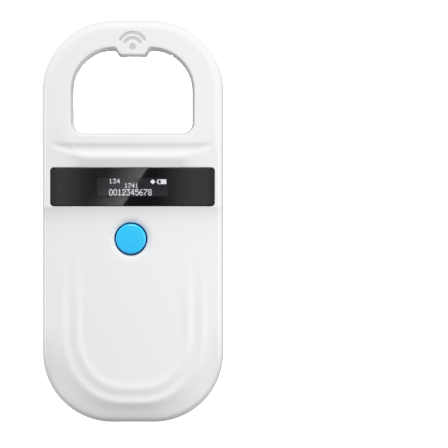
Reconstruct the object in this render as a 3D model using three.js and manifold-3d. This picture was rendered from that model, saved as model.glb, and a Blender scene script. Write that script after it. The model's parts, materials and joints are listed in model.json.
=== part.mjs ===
// Hand-held microchip scanner for a veterinary clinic.
// Millimetres. The scanner lies on its back: +X across, +Y towards the aerial loop, +Z out of the
// front face.
// The origin is on the surface that it lies on, under the centre of the outline.

import * as THREE from "three";
import { mergeVertices } from "three/addons/utils/BufferGeometryUtils.js";
import Module from "manifold-3d";

const wasm = await Module();
wasm.setup();

// ---------------------------------------------------------------- driving dimensions

const WIDTH = 76;
const LENGTH = 168.6;
const FACE_Z = 22; // front face of the grip
const SPLIT_Z = 11; // parting plane of the two shells
const WALL = 2;
const END_RADIUS_LOW = 29.3;
const END_RADIUS_HIGH = 29.9;
const GAP = 0.3; // between pieces that touch on the real object

const HALF_W = WIDTH / 2;
const HALF_L = LENGTH / 2;

const EDGE = { width: 3, widthLoop: 4.2, height: 4.2, heightTail: 3.2, draft: 0.3 };
const REAR_EDGE = { width: 3.6, height: 4, draft: 0.4 };
const RISE = { from: -16, low: 6.05, high: 22.75, to: 26.4, bank: 0.36, power: 4 };
const TAIL = { from: -40, to: -70, reach: 9.5, drop: 4.2, power: 1.3 };

const LOOP = { halfW: 25.4, low: 36.6, high: 72.1, rLow: 4.7, rHigh: 17.4 };
const TAB = { rootHalf: 7, tipHalf: 5.25, drop: 2.9, corner: 0.8 };
const ICON = { y: 72.8, dotR: 1.35, arcs: [3.7, 5.9], arcWidth: 1.3, arcSpread: 58, depth: 0.4 };
const SCOOP = { high: 33, low: 27.9, bow: 4.2, halfW: 34.3, depth: 0.8 };

const WINDOW = { halfW: 34.25, halfH: 8.05, y: 14.4, thick: 1.2, corner: 1.6, tape: 0.25, tapeRim: 1.6 };
const WINDOW_SEAT = { side: 0.15, ledge: 0.1 };
const VIEW_HOLE = { halfW: 16, halfH: 5 };

const BUTTON = { x: -0.7, y: -7.3, capR: 6.25, holeR: 6.9, flangeR: 7.9, dimpleR: 9.4, dimpleDepth: 0.7 };
const BUTTON_TRAVEL = 0.35;
const COLLAR = { r: 8.6, low: 17.4 };

const CEILING_Z = 19.8; // inner side of the front face
const ROOT_Z = 20.4; // bosses and the collar run into the front face up to here
const THROUGH_Z = 30; // above everything, for cuts that go right through

const PCB = { halfW: 28.5, low: -80.4, high: 25.5, rLow: 22, rHigh: 3, z: 9.4, thick: 1.6 };
const PCB_TOP = PCB.z + PCB.thick;
const SOLDER = 0.05;

const SCREW = { headR: 2.1, headH: 1.5, seatZ: 4, shankR: 1.1, length: 11, slot: 0.6, slotDepth: 0.7 };
const BOSS = { r: 3.4, counterR: 2.6, holeR: 1.4, pilotR: 1.3, pilotTop: 16 };
const BOARD_SCREWS = [[-24.5, -4], [24.5, -4], [-22, -56], [22, -56]];
const NECK_SCREWS = [[-31, 26], [31, 26]];

const USB = { halfW: 4.47, height: 3.16, wall: 0.3, mouth: -83.1, length: 7.35 };
const COIL = { side: 31.3, high: 77.3, low: 30.3, rHigh: 23.3, rLow: 7, size: 4, z: 9.9 };
const BATTERY = { halfW: 17, low: -66, high: -16, z: 3.2, thick: 5 };

// ---------------------------------------------------------------- materials

const paint = (color, roughness, metalness = 0) =>
  new THREE.MeshStandardMaterial({ color, roughness, metalness });

const MATERIAL = {
  shell: paint(0xececec, 0.42),
  window: paint(0x1c1c1e, 0.08),
  button: paint(0x3fc7ff, 0.3),
  tape: paint(0x20201f, 0.9),
  board: paint(0x1d5a38, 0.5),
  chip: paint(0x1b1b1d, 0.6),
  plastic: paint(0x26262a, 0.55),
  ivory: paint(0xe9e2cf, 0.5),
  metal: paint(0xc4c6c8, 0.3, 1),
  copper: paint(0xa5552a, 0.35, 1),
  kapton: paint(0xc98a2a, 0.4),
  glass: paint(0x2a2930, 0.08),
  pouch: paint(0xb9bcc2, 0.35, 0.8),
  red: paint(0xb3201c, 0.5),
  black: paint(0x161616, 0.5),
  label: paint(0xd9dadb, 0.5),
  foam: paint(0x8a8c90, 0.95),
};

// ---------------------------------------------------------------- solids

// A closed three.js geometry as a solid that can be cut and joined.
function solid(geometry) {
  const bare = geometry.clone();
  bare.deleteAttribute("normal");
  bare.deleteAttribute("uv");
  const merged = mergeVertices(bare, 1e-4);
  const vertProperties = new Float32Array(merged.attributes.position.array);
  const triVerts = new Uint32Array(merged.index.array);
  return new wasm.Manifold(new wasm.Mesh({ numProp: 3, vertProperties, triVerts }));
}

// A solid as a three.js geometry.
function geometryOf(made) {
  const mesh = made.getMesh();
  const positions = new Float32Array(mesh.numVert * 3);
  for (let i = 0; i < mesh.numVert; i++) {
    for (let k = 0; k < 3; k++) positions[3 * i + k] = mesh.vertProperties[i * mesh.numProp + k];
  }
  const geometry = new THREE.BufferGeometry();
  geometry.setAttribute("position", new THREE.BufferAttribute(positions, 3));
  geometry.setIndex(new THREE.BufferAttribute(new Uint32Array(mesh.triVerts), 1));
  geometry.computeVertexNormals();
  return geometry;
}

// A box from its lowest to its highest corner.
function box(x0, x1, y0, y1, z0, z1) {
  return new THREE.BoxGeometry(x1 - x0, y1 - y0, z1 - z0)
    .translate((x0 + x1) / 2, (y0 + y1) / 2, (z0 + z1) / 2);
}

// A box centred on (x, y) that stands on z.
const block = (x, y, z, w, d, h) => box(x - w / 2, x + w / 2, y - d / 2, y + d / 2, z, z + h);

// An upright cylinder or cone between two heights.
function post(x, y, r, z0, z1, rTop = r, sides = 16) {
  return new THREE.CylinderGeometry(rTop, r, z1 - z0, sides)
    .rotateX(Math.PI / 2)
    .translate(x, y, (z0 + z1) / 2);
}

// A profile of (radius, z) pairs turned about an upright axis.
function turned(x, y, profile, sides = 16) {
  const points = profile.map(([r, z]) => new THREE.Vector2(r, z));
  return new THREE.LatheGeometry(points, sides).rotateX(Math.PI / 2).translate(x, y, 0);
}

// A flat shape pushed up from z0 to z1.
function slab(shape, z0, z1, curveSegments = 8) {
  const options = { depth: z1 - z0, bevelEnabled: false, curveSegments };
  return new THREE.ExtrudeGeometry(shape, options).translate(0, 0, z0);
}

// A rectangle with its own radius at the low and the high corners.
function roundedShape(halfW, low, high, rLow, rHigh = rLow, Type = THREE.Shape) {
  const path = new Type();
  path.moveTo(-halfW + rLow, low);
  path.lineTo(halfW - rLow, low);
  path.absarc(halfW - rLow, low + rLow, rLow, -Math.PI / 2, 0, false);
  path.lineTo(halfW, high - rHigh);
  path.absarc(halfW - rHigh, high - rHigh, rHigh, 0, Math.PI / 2, false);
  path.lineTo(-halfW + rHigh, high);
  path.absarc(-halfW + rHigh, high - rHigh, rHigh, Math.PI / 2, Math.PI, false);
  path.lineTo(-halfW, low + rLow);
  path.absarc(-halfW + rLow, low + rLow, rLow, Math.PI, 1.5 * Math.PI, false);
  return path;
}

// A round wire through the given points.
function wire(points, r, steps) {
  const section = new THREE.Shape();
  section.absarc(0, 0, r, 0, 2 * Math.PI, false);
  const route = new THREE.CatmullRomCurve3(points.map((p) => new THREE.Vector3(...p)));
  const options = { steps, bevelEnabled: false, extrudePath: route, curveSegments: 4 };
  return new THREE.ExtrudeGeometry(section, options);
}

// ---------------------------------------------------------------- the outer form

const clamp01 = (t) => Math.min(1, Math.max(0, t));
const smooth = (a, b, v) => {
  const t = clamp01((v - a) / (b - a));
  return t * t * (3 - 2 * t);
};

// The face rises from the grip to the loop in two banks, with a level shelf between them for the display.
// The lower bank begins softly and is steepest at the shelf.
function rise(y) {
  const { from, low, high, to, bank, power } = RISE;
  const run = low - from;
  const lowerBank = ((bank * run) / (power + 1)) * clamp01((y - from) / run) ** (power + 1);
  return lowerBank + bank * Math.min(Math.max(y - high, 0), to - high);
}
const LOOP_Z = FACE_Z + rise(RISE.to);

// Towards the lower end the face falls away to the edge.
const tailShare = (y) => smooth(TAIL.from, TAIL.to, y);
const tail = (inset, y) =>
  -TAIL.drop * tailShare(y) * clamp01(1 - inset / TAIL.reach) ** TAIL.power;

// The outline, moved inwards by inset: (x, y) points, the same number for every inset. They run from the
// middle of the low end up the right side and down the left, so the first and the last are a mirrored pair.
const SIDE_STATIONS = [-41, -28, RISE.from, -7, -1, 3, RISE.low, RISE.high, RISE.to, 29, 33, 40, 47];
const ARC_STEPS = 8;
const END_SPLIT = 1 / 3;
function outline(inset, stations) {
  const right = [];
  const arc = (cx, cy, r, start) => {
    for (let i = 0; i <= ARC_STEPS; i++) {
      const a = start + (i / ARC_STEPS) * (Math.PI / 2);
      right.push([cx + (r - inset) * Math.cos(a), cy + (r - inset) * Math.sin(a)]);
    }
  };
  const lowX = HALF_W - END_RADIUS_LOW;
  const highX = HALF_W - END_RADIUS_HIGH;
  right.push([lowX * END_SPLIT, -HALF_L + inset]);
  arc(lowX, -HALF_L + END_RADIUS_LOW, END_RADIUS_LOW, -Math.PI / 2);
  stations.forEach((y) => right.push([HALF_W - inset, y]));
  arc(highX, HALF_L - END_RADIUS_HIGH, END_RADIUS_HIGH, 0);
  right.push([highX * END_SPLIT, HALF_L - inset]);
  const left = right.map(([x, y]) => [-x, y]).reverse();
  return [...right, ...left];
}

// A closed body through rings of (x, y, z) points with mirrored pairs as above, so that a strip of
// quads closes each end. The rings run anticlockwise as seen from the last one.
function lofted(rings) {
  const count = rings[0].length;
  const index = [];
  const quad = (a, b, c, d) => index.push(a, b, c, a, c, d);
  for (let k = 0; k + 1 < rings.length; k++) {
    for (let i = 0; i < count; i++) {
      const a = k * count + i;
      const b = k * count + ((i + 1) % count);
      quad(a, b, b + count, a + count);
    }
  }
  const top = (rings.length - 1) * count;
  for (let i = 0; i + 1 < count / 2; i++) {
    const j = count - 1 - i;
    quad(i, j, j - 1, i + 1);
    quad(top + i, top + i + 1, top + j - 1, top + j);
  }
  const geometry = new THREE.BufferGeometry();
  geometry.setAttribute("position", new THREE.Float32BufferAttribute(rings.flat(2), 3));
  geometry.setIndex(index);
  return geometry;
}

// A ring at one height, and a ring that follows the front face.
const levelRing = ([inset, z]) => outline(inset, []).map(([x, y]) => [x, y, z]);
const faceRing = (inset, height) => outline(inset, SIDE_STATIONS).map(([x, y]) => [x, y, height(y)]);

const ROUND_STEPS = 4;

function frontForm() {
  const edgeWidth = (y) => EDGE.width + (EDGE.widthLoop - EDGE.width) * smooth(22, 40, y);
  const edgeHeight = (y) => EDGE.height + (EDGE.heightTail - EDGE.height) * tailShare(y);
  const top = (inset, y) => FACE_Z + rise(y) + tail(inset, y);
  const rings = [faceRing(0, () => SPLIT_Z)];
  for (let i = 0; i <= ROUND_STEPS; i++) {
    const a = (i / ROUND_STEPS) * (Math.PI / 2);
    rings.push(outline(0, SIDE_STATIONS).map(([, level], k) => {
      const inset = EDGE.draft + (edgeWidth(level) - EDGE.draft) * (1 - Math.cos(a));
      const [x, y] = outline(inset, SIDE_STATIONS)[k];
      return [x, y, top(inset, y) - edgeHeight(y) * (1 - Math.sin(a))];
    }));
  }
  for (const inset of [5, 7.5, 10, 28]) rings.push(faceRing(inset, (y) => top(inset, y)));
  return lofted(rings);
}

function rearForm() {
  const rings = [];
  for (let i = ROUND_STEPS; i >= 0; i--) {
    const a = (i / ROUND_STEPS) * (Math.PI / 2);
    const inset = REAR_EDGE.draft + REAR_EDGE.width * (1 - Math.cos(a));
    rings.push([inset, REAR_EDGE.height * (1 - Math.sin(a))]);
  }
  rings.push([0, SPLIT_Z]);
  return lofted(rings.map(levelRing));
}

// The room inside both shells, as (inset, z) steps.
const room = (steps) => solid(lofted(steps.map(levelRing)));

// ---------------------------------------------------------------- the loop

function loopOpening() {
  const { halfW, low, high, rLow, rHigh } = LOOP;
  const { rootHalf, tipHalf, drop, corner } = TAB;
  const path = new THREE.Shape();
  path.moveTo(-halfW + rLow, low);
  path.lineTo(halfW - rLow, low);
  path.absarc(halfW - rLow, low + rLow, rLow, -Math.PI / 2, 0, false);
  path.lineTo(halfW, high - rHigh);
  path.absarc(halfW - rHigh, high - rHigh, rHigh, 0, Math.PI / 2, false);
  path.lineTo(rootHalf + corner, high);
  path.quadraticCurveTo(rootHalf, high, rootHalf - corner / 2, high - corner);
  path.lineTo(tipHalf + corner / 2, high - drop + corner);
  path.quadraticCurveTo(tipHalf, high - drop, tipHalf - corner, high - drop);
  path.lineTo(-tipHalf + corner, high - drop);
  path.quadraticCurveTo(-tipHalf, high - drop, -tipHalf - corner / 2, high - drop + corner);
  path.lineTo(-rootHalf + corner / 2, high - corner);
  path.quadraticCurveTo(-rootHalf, high, -rootHalf - corner, high);
  path.absarc(-halfW + rHigh, high - rHigh, rHigh, Math.PI / 2, Math.PI, false);
  path.lineTo(-halfW, low + rLow);
  path.absarc(-halfW + rLow, low + rLow, rLow, Math.PI, 1.5 * Math.PI, false);
  return path;
}

const loopWall = roundedShape(
  LOOP.halfW + WALL, LOOP.low - WALL, LOOP.high + WALL, LOOP.rLow + WALL, LOOP.rHigh + WALL,
);

// Ribs that hold the coil, as (x, y, width, depth).
const RIBS = [[-31.5, 58, 8, 1.4], [31.5, 58, 8, 1.4], [-31.5, 42, 8, 1.4], [31.5, 42, 8, 1.4],
  [-5, 78, 1.4, 8], [5, 78, 1.4, 8], [-12, 31, 1.4, 6], [12, 31, 1.4, 6]];

// The groove between the loop and the display: a straight edge above, a bowed edge below.
function scoop() {
  const floor = [[1, 0], [0.82, 0.72], [0.62, 1], [0.32, 0.62], [0, 0]];
  const STEPS = 12;
  const ABOVE = 3;
  const rings = [];
  for (let i = 0; i <= STEPS; i++) {
    const across = Math.sin(((2 * i) / STEPS - 1) * (Math.PI / 2));
    const flare = Math.abs(across) ** 6;
    const low = SCOOP.low + SCOOP.bow * flare;
    const at = (s, depth) => {
      const y = low + (1 - s) * (SCOOP.high - low);
      return [across * SCOOP.halfW, y, FACE_Z + rise(y) - depth];
    };
    const under = floor.map(([s, d]) => at(s, d * SCOOP.depth * (1 - flare)));
    const over = floor.map(([s]) => at(s, -ABOVE)).reverse();
    rings.push([...under, ...over]);
  }
  return lofted(rings);
}

// A bent bar, for the two arcs of the icon.
function arcBar(radius) {
  const spread = THREE.MathUtils.degToRad(ICON.arcSpread);
  const shape = new THREE.Shape();
  const half = ICON.arcWidth / 2;
  shape.absarc(0, 0, radius + half, Math.PI / 2 - spread, Math.PI / 2 + spread, false);
  shape.absarc(0, 0, radius - half, Math.PI / 2 + spread, Math.PI / 2 - spread, true);
  return slab(shape, LOOP_Z - ICON.depth, LOOP_Z + 2, 6).translate(0, ICON.y, 0);
}

// ---------------------------------------------------------------- the display's shelf

const windowFaceZ = FACE_Z + rise(WINDOW.y);

// Puts a shape that was drawn round the origin, with its top face at z 0, onto the shelf.
const ontoShelf = (geometry) => geometry.translate(0, WINDOW.y, windowFaceZ);

const plate = (halfW, halfH, corner, z0, z1) =>
  slab(roundedShape(halfW, -halfH, halfH, corner), z0, z1, 4);

// ---------------------------------------------------------------- shells

function frontShell() {
  const inside = room([[2.2, SPLIT_Z - 1], [2.4, 15], [4.5, 17.5], [9, CEILING_Z]])
    .subtract(solid(slab(loopWall, 0, THROUGH_Z)));
  let shell = solid(frontForm()).subtract(inside);
  for (const [x, y] of BOARD_SCREWS) shell = shell.add(solid(post(x, y, 2.8, PCB_TOP + GAP, ROOT_Z)));
  for (const [x, y] of NECK_SCREWS) shell = shell.add(solid(post(x, y, 2.6, SPLIT_Z + 0.1, ROOT_Z)));
  for (const [x, y] of [...BOARD_SCREWS, ...NECK_SCREWS]) {
    shell = shell.subtract(solid(post(x, y, BOSS.pilotR, SPLIT_Z - 1, BOSS.pilotTop, BOSS.pilotR, 12)));
  }
  for (const [x, y, w, d] of RIBS) {
    shell = shell.add(solid(block(x, y, COIL.z + COIL.size + 0.4, w, d, 6)));
  }
  shell = shell.add(solid(post(BUTTON.x, BUTTON.y, COLLAR.r, COLLAR.low, ROOT_Z, COLLAR.r, 32)));
  shell = shell.subtract(solid(slab(loopOpening(), 0, THROUGH_Z)));
  shell = shell.subtract(solid(scoop()));

  const seat = WINDOW.thick + WINDOW.tape + 2 * WINDOW_SEAT.ledge;
  const seatHalf = [WINDOW.halfW + WINDOW_SEAT.side, WINDOW.halfH + WINDOW_SEAT.side];
  shell = shell.subtract(solid(ontoShelf(plate(...seatHalf, WINDOW.corner, -seat, 3))));
  shell = shell.subtract(solid(ontoShelf(plate(VIEW_HOLE.halfW, VIEW_HOLE.halfH, 1, -8, 3))));

  const { x, y, holeR, dimpleR, dimpleDepth } = BUTTON;
  shell = shell.subtract(solid(post(x, y, holeR, PCB_TOP, THROUGH_Z, holeR, 32)));
  const dish = [[0, FACE_Z - dimpleDepth], [holeR, FACE_Z - dimpleDepth],
    [holeR + 0.9, FACE_Z - 0.35], [dimpleR, FACE_Z + 0.02], [dimpleR, FACE_Z + 3], [0, FACE_Z + 3]];
  shell = shell.subtract(solid(turned(x, y, dish, 32)));

  shell = shell.subtract(solid(post(0, ICON.y, ICON.dotR, LOOP_Z - ICON.depth, LOOP_Z + 2, ICON.dotR, 20)));
  for (const radius of ICON.arcs) shell = shell.subtract(solid(arcBar(radius)));
  const port = USB.halfW + GAP;
  return shell.subtract(solid(box(-port, port, -90, -77, SPLIT_Z - 1, PCB_TOP + USB.height + 0.4)));
}

function rearShell() {
  const inside = room([[4.4, WALL], [2.8, 4.2], [2.2, 6], [2.2, SPLIT_Z + 1]])
    .subtract(solid(slab(loopWall, 0, THROUGH_Z)));
  let shell = solid(rearForm()).subtract(inside);
  const lip = room([[2, 7], [2.5, 9.5], [2.5, SPLIT_Z + 1.2]]).subtract(room([[3.3, 6], [3.3, 14]]));
  shell = shell.add(lip);
  for (const [x, y] of [...BOARD_SCREWS, ...NECK_SCREWS]) {
    const top = Math.abs(x) > PCB.halfW ? SPLIT_Z - 0.2 : PCB.z - GAP;
    shell = shell.add(solid(post(x, y, BOSS.r, WALL - 1, top)));
  }
  for (const [x, y] of [...BOARD_SCREWS, ...NECK_SCREWS]) {
    shell = shell.subtract(solid(post(x, y, BOSS.counterR, -1, SCREW.seatZ)));
    shell = shell.subtract(solid(post(x, y, BOSS.holeR, -1, 12, BOSS.holeR, 12)));
  }
  for (const [x, y, w, d] of RIBS) shell = shell.add(solid(block(x, y, 1, w, d, COIL.z - 1.4)));
  shell = shell.subtract(solid(slab(loopOpening(), -2, THROUGH_Z)));
  const { x, y, w, h, depth } = LABEL;
  shell = shell.subtract(solid(slab(labelShape(w / 2 + 0.2, h / 2 + 0.2), -1, depth).translate(x, y, 0)));
  const port = USB.halfW + GAP;
  shell = shell.subtract(solid(box(-port, port, -82.4, -77, SPLIT_Z - 0.05, SPLIT_Z + 3)));
  for (const [dx, dy] of SOUND_HOLES) {
    shell = shell.subtract(solid(post(BUZZER.x + dx, BUZZER.y + dy, 0.7, -1, 4, 0.7, 8)));
  }
  return shell;
}

// ---------------------------------------------------------------- what lies inside and on the back

const LABEL = { x: 0, y: -38, w: 44, h: 26, depth: 0.35 };
const labelShape = (halfW, halfH) => roundedShape(halfW, -halfH, halfH, 2);

const BUZZER = { x: -15, y: 8, r: 4.6, h: 4.2 };
const SOUND_HOLES = [[0, 0], [2.2, 0], [-2.2, 0], [0, 2.2], [0, -2.2]];

function board() {
  let made = solid(slab(roundedShape(PCB.halfW, PCB.low, PCB.high, PCB.rLow, PCB.rHigh), PCB.z, PCB_TOP));
  for (const [x, y] of BOARD_SCREWS) made = made.subtract(solid(post(x, y, 1.6, 5, 15, 1.6, 16)));
  for (const [dx, dy] of SWITCH_PINS) {
    made = made.subtract(solid(block(BUTTON.x + dx, BUTTON.y + dy, 5, 1.4, 1.6, 10)));
  }
  return made;
}

function coil() {
  const half = COIL.size / 2;
  const shape = roundedShape(
    COIL.side + half, COIL.low - half, COIL.high + half, COIL.rLow + half, COIL.rHigh + half,
  );
  shape.holes.push(roundedShape(
    COIL.side - half, COIL.low + half, COIL.high - half, COIL.rLow - half, COIL.rHigh - half, THREE.Path,
  ));
  return slab(shape, COIL.z, COIL.z + COIL.size, 7);
}

// A band of tape once round the coil, of the given length along it.
function coilTape(x, y, alongX) {
  const reach = COIL.size / 2 + GAP;
  const skin = 0.35;
  const length = 5;
  const z = COIL.z + COIL.size / 2;
  const side = alongX ? [length / 2, reach + skin] : [reach + skin, length / 2];
  const hole = alongX ? [length, reach] : [reach, length];
  const outer = box(x - side[0], x + side[0], y - side[1], y + side[1], z - reach - skin, z + reach + skin);
  const inner = box(x - hole[0], x + hole[0], y - hole[1], y + hole[1], z - reach, z + reach);
  return solid(outer).subtract(solid(inner));
}

function screw(x, y) {
  const { headR, headH, seatZ, shankR, length, slot, slotDepth } = SCREW;
  const low = seatZ - headH - 0.05;
  const under = seatZ - 0.05;
  const profile = [[0, low], [headR - 0.4, low], [headR, low + 0.4], [headR, under],
    [shankR, under], [shankR, seatZ + length - 1.2], [0, seatZ + length]];
  const cross = [[headR * 1.2, slot], [slot, headR * 1.2]];
  return cross.reduce(
    (made, [w, d]) => made.subtract(solid(block(x, y, low - 1, w, d, 1 + slotDepth))),
    solid(turned(x, y, profile, 12)),
  );
}

// The push switch: a square base with a snap dome in it, a steel cover, four legs and a plunger.
const SWITCH = {
  half: 6, baseH: 3.3, wellR: 3.6, wellZ: 0.9, coverT: 0.3, plungerHalf: 1.9, plungerTop: 18.2,
};
const SWITCH_PINS = [[-6.2, -2.5], [6.2, -2.5], [-6.2, 2.5], [6.2, 2.5]];
const switchZ = PCB_TOP + SOLDER;
const coverZ = switchZ + SWITCH.baseH + 0.05;

function switchBase() {
  const { half, baseH, wellR, wellZ } = SWITCH;
  return solid(block(BUTTON.x, BUTTON.y, switchZ, 2 * half, 2 * half, baseH))
    .subtract(solid(post(BUTTON.x, BUTTON.y, wellR, switchZ + wellZ, switchZ + 9)));
}

function switchCover() {
  const { half, coverT } = SWITCH;
  return solid(block(BUTTON.x, BUTTON.y, coverZ, 2 * half - 0.2, 2 * half - 0.2, coverT))
    .subtract(solid(post(BUTTON.x, BUTTON.y, 2.95, coverZ - 1, coverZ + 1)));
}

function switchDome() {
  const z = switchZ + SWITCH.wellZ + 0.05;
  const profile = [[0, z + 0.75], [1.6, z + 0.6], [3.2, z], [3.4, z], [3.4, z + 0.15],
    [1.7, z + 0.8], [0, z + 0.95]];
  return turned(BUTTON.x, BUTTON.y, profile);
}

function switchPlunger() {
  const foot = switchZ + SWITCH.wellZ + 1.05 + BUTTON_TRAVEL;
  return solid(post(BUTTON.x, BUTTON.y, 2.7, foot, coverZ + 1.2, 2.7, 20))
    .add(solid(block(BUTTON.x, BUTTON.y, coverZ + 1, 2 * SWITCH.plungerHalf, 2 * SWITCH.plungerHalf,
      SWITCH.plungerTop - coverZ - 1)));
}

// The cap: a crowned top, a flange that the shell's collar stops, and a square socket for the plunger.
function buttonCap() {
  const { x, y, capR, flangeR } = BUTTON;
  const flangeTop = COLLAR.low - 0.1;
  const flangeLow = flangeTop - 1.1;
  const top = FACE_Z + 0.75;
  const flange = [[0, flangeLow], [flangeR, flangeLow], [flangeR, flangeTop], [capR, flangeTop]];
  const crown = [[capR, top - 0.75], [capR - 0.22, top - 0.32], [capR - 0.75, top - 0.05],
    [capR - 2.5, top + 0.1], [0, top + 0.25]];
  const socket = SWITCH.plungerHalf + 0.1;
  return solid(turned(x, y, [...flange, ...crown], 32))
    .subtract(solid(block(x, y, PCB_TOP, 2 * socket, 2 * socket, SWITCH.plungerTop + 0.1 - PCB_TOP)));
}

// ---------------------------------------------------------------- the assembly

const scanner = new THREE.Group();
scanner.name = "microchip_scanner";

function piece(name, made, material, parent = scanner) {
  const geometry = made.isBufferGeometry ? made : geometryOf(made);
  const mesh = new THREE.Mesh(geometry, material);
  mesh.name = name;
  parent.add(mesh);
  return mesh;
}

piece("front_shell", frontShell(), MATERIAL.shell);
piece("rear_shell", rearShell(), MATERIAL.shell);

// Display window and the tape that holds it
const windowPlate = plate(WINDOW.halfW, WINDOW.halfH, WINDOW.corner, -WINDOW.thick, 0);
piece("display_window", ontoShelf(windowPlate), MATERIAL.window);
const tapeTop = -WINDOW.thick - WINDOW_SEAT.ledge;
const tapeFrame = roundedShape(WINDOW.halfW - 0.4, -WINDOW.halfH + 0.4, WINDOW.halfH - 0.4, WINDOW.corner);
tapeFrame.holes.push(roundedShape(
  WINDOW.halfW - 0.4 - WINDOW.tapeRim, -WINDOW.halfH + 0.4 + WINDOW.tapeRim,
  WINDOW.halfH - 0.4 - WINDOW.tapeRim, 0.6, 0.6, THREE.Path,
));
piece("window_tape", ontoShelf(slab(tapeFrame, tapeTop - WINDOW.tape, tapeTop, 3)), MATERIAL.tape);

// Button and switch
piece("button_cap", buttonCap(), MATERIAL.button);
piece("switch_plunger", switchPlunger(), MATERIAL.ivory);
piece("switch_base", switchBase(), MATERIAL.chip);
piece("switch_cover", switchCover(), MATERIAL.metal);
piece("switch_dome", switchDome(), MATERIAL.metal);
SWITCH_PINS.forEach(([dx, dy], i) => {
  const x = BUTTON.x + dx;
  piece(`switch_leg_${i + 1}`, block(x, BUTTON.y + dy, PCB.z - 1, 0.3, 1, 4), MATERIAL.metal);
});

// Main board and what is soldered to it
piece("main_board", board(), MATERIAL.board);
const onBoard = [
  // name, x, y, width, depth, height, material
  ["controller_chip", 12, -24, 7, 7, 1.4, MATERIAL.chip],
  ["reader_chip", -12, -24, 6, 10, 1.75, MATERIAL.chip],
  ["memory_chip", 12, -38, 5, 6, 1.5, MATERIAL.chip],
  ["charger_chip", -10, -66, 5, 4, 1.4, MATERIAL.chip],
  ["crystal", 0.5, -25, 4.6, 11, 3.2, MATERIAL.metal],
  ["power_inductor", -12, -52, 6, 6, 3, MATERIAL.plastic],
  ["tuning_capacitor_left", -14, -38, 5, 6.5, 2.5, MATERIAL.kapton],
  ["tuning_capacitor_right", -6, -38, 5, 6.5, 2.5, MATERIAL.kapton],
  ["bulk_capacitor", 10, -66, 4.3, 7.3, 2.9, MATERIAL.kapton],
];
for (const [name, x, y, w, d, h, material] of onBoard) {
  piece(name, block(x, y, PCB_TOP + SOLDER, w, d, h), material);
}
piece("wireless_board", block(12, -52, PCB_TOP + SOLDER, 12, 15, 0.8), MATERIAL.board);
piece("wireless_can", block(12, -54.5, PCB_TOP + 2 * SOLDER + 0.8, 10, 8, 1.6), MATERIAL.metal);

// Buzzer under the board
const buzzerTop = PCB.z - SOLDER;
piece("buzzer", solid(post(BUZZER.x, BUZZER.y, BUZZER.r, buzzerTop - BUZZER.h, buzzerTop))
  .subtract(solid(post(BUZZER.x, BUZZER.y, 1, 0, buzzerTop - 1.5, 1, 12))), MATERIAL.chip);

// Charging socket: a rolled steel shell and the tongue in it
const usbZ = PCB_TOP + SOLDER;
const usbShape = (shrink) => roundedShape(
  USB.halfW - shrink, shrink, USB.height - shrink, USB.height / 2 - shrink - 0.05,
);
const lying = (geometry, y0) => geometry.rotateX(Math.PI / 2).translate(0, y0, usbZ);
const usbShell = solid(lying(slab(usbShape(0), 0, USB.length, 4), USB.mouth + USB.length))
  .subtract(solid(lying(slab(usbShape(USB.wall), 0, USB.length, 4), USB.mouth + USB.length - 1)));
piece("charge_socket_shell", usbShell, MATERIAL.metal);
piece("charge_socket_tongue", box(-3.3, 3.3, USB.mouth + 0.8, USB.mouth + USB.length - 1.05,
  usbZ + 1.23, usbZ + 1.93), MATERIAL.plastic);

// Display: a bracket on the board, the panel of two glasses, its foam and its ribbon
const PANEL = { halfW: 15, halfH: 5.75 };
const bracketTop = 18.5;
const bracketFoot = PCB_TOP + SOLDER;
const bracket = solid(box(-16.5, 16.5, WINDOW.y - 6.6, WINDOW.y + 6.6, bracketFoot, bracketTop))
  .subtract(solid(box(-14.5, 14.5, WINDOW.y - 5, WINDOW.y + 5, bracketFoot - 1, bracketTop + 1)))
  .subtract(solid(box(-15.3, 15.3, WINDOW.y - 6, WINDOW.y + 6, bracketTop - 0.8, bracketTop + 1)))
  .subtract(solid(box(-7, 7, WINDOW.y + 4, WINDOW.y + 9, bracketFoot - 1, bracketTop + 1)));
piece("display_bracket", bracket, MATERIAL.plastic);
const panelZ = bracketTop - 0.7;
piece("display_panel_base", box(-PANEL.halfW, PANEL.halfW, WINDOW.y - PANEL.halfH, WINDOW.y + PANEL.halfH,
  panelZ, panelZ + 0.7), MATERIAL.glass);
piece("display_panel_glass", box(-PANEL.halfW, PANEL.halfW, WINDOW.y - PANEL.halfH,
  WINDOW.y + PANEL.halfH - 1.5, panelZ + 0.75, panelZ + 1.45), MATERIAL.glass);
const foamLow = panelZ + 1.5;
const foam = solid(box(-15.6, 15.6, WINDOW.y - 4.4, WINDOW.y + 4.4, foamLow, foamLow + 2.8))
  .subtract(solid(box(-14.9, 14.9, WINDOW.y - 3.9, WINDOW.y + 3.9, foamLow - 1, foamLow + 4)));
piece("display_foam", foam, MATERIAL.foam);
const ribbon = new THREE.Shape();
const ribbonY = WINDOW.y + PANEL.halfH + 0.15;
ribbon.moveTo(ribbonY, panelZ);
ribbon.lineTo(ribbonY + 2.2, panelZ - 0.4);
ribbon.lineTo(ribbonY + 2.6, panelZ - 1.5);
ribbon.lineTo(ribbonY + 2.6, PCB_TOP + 0.1);
ribbon.lineTo(ribbonY + 2.8, PCB_TOP + 0.1);
ribbon.lineTo(ribbonY + 2.8, panelZ - 1.4);
ribbon.lineTo(ribbonY + 2.35, panelZ - 0.15);
ribbon.lineTo(ribbonY, panelZ + 0.25);
const ribbonStrip = new THREE.ExtrudeGeometry(ribbon, { depth: 12, bevelEnabled: false })
  .rotateY(Math.PI / 2).rotateX(Math.PI / 2).translate(-6, 0, 0);
piece("display_ribbon", ribbonStrip, MATERIAL.kapton);

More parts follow.
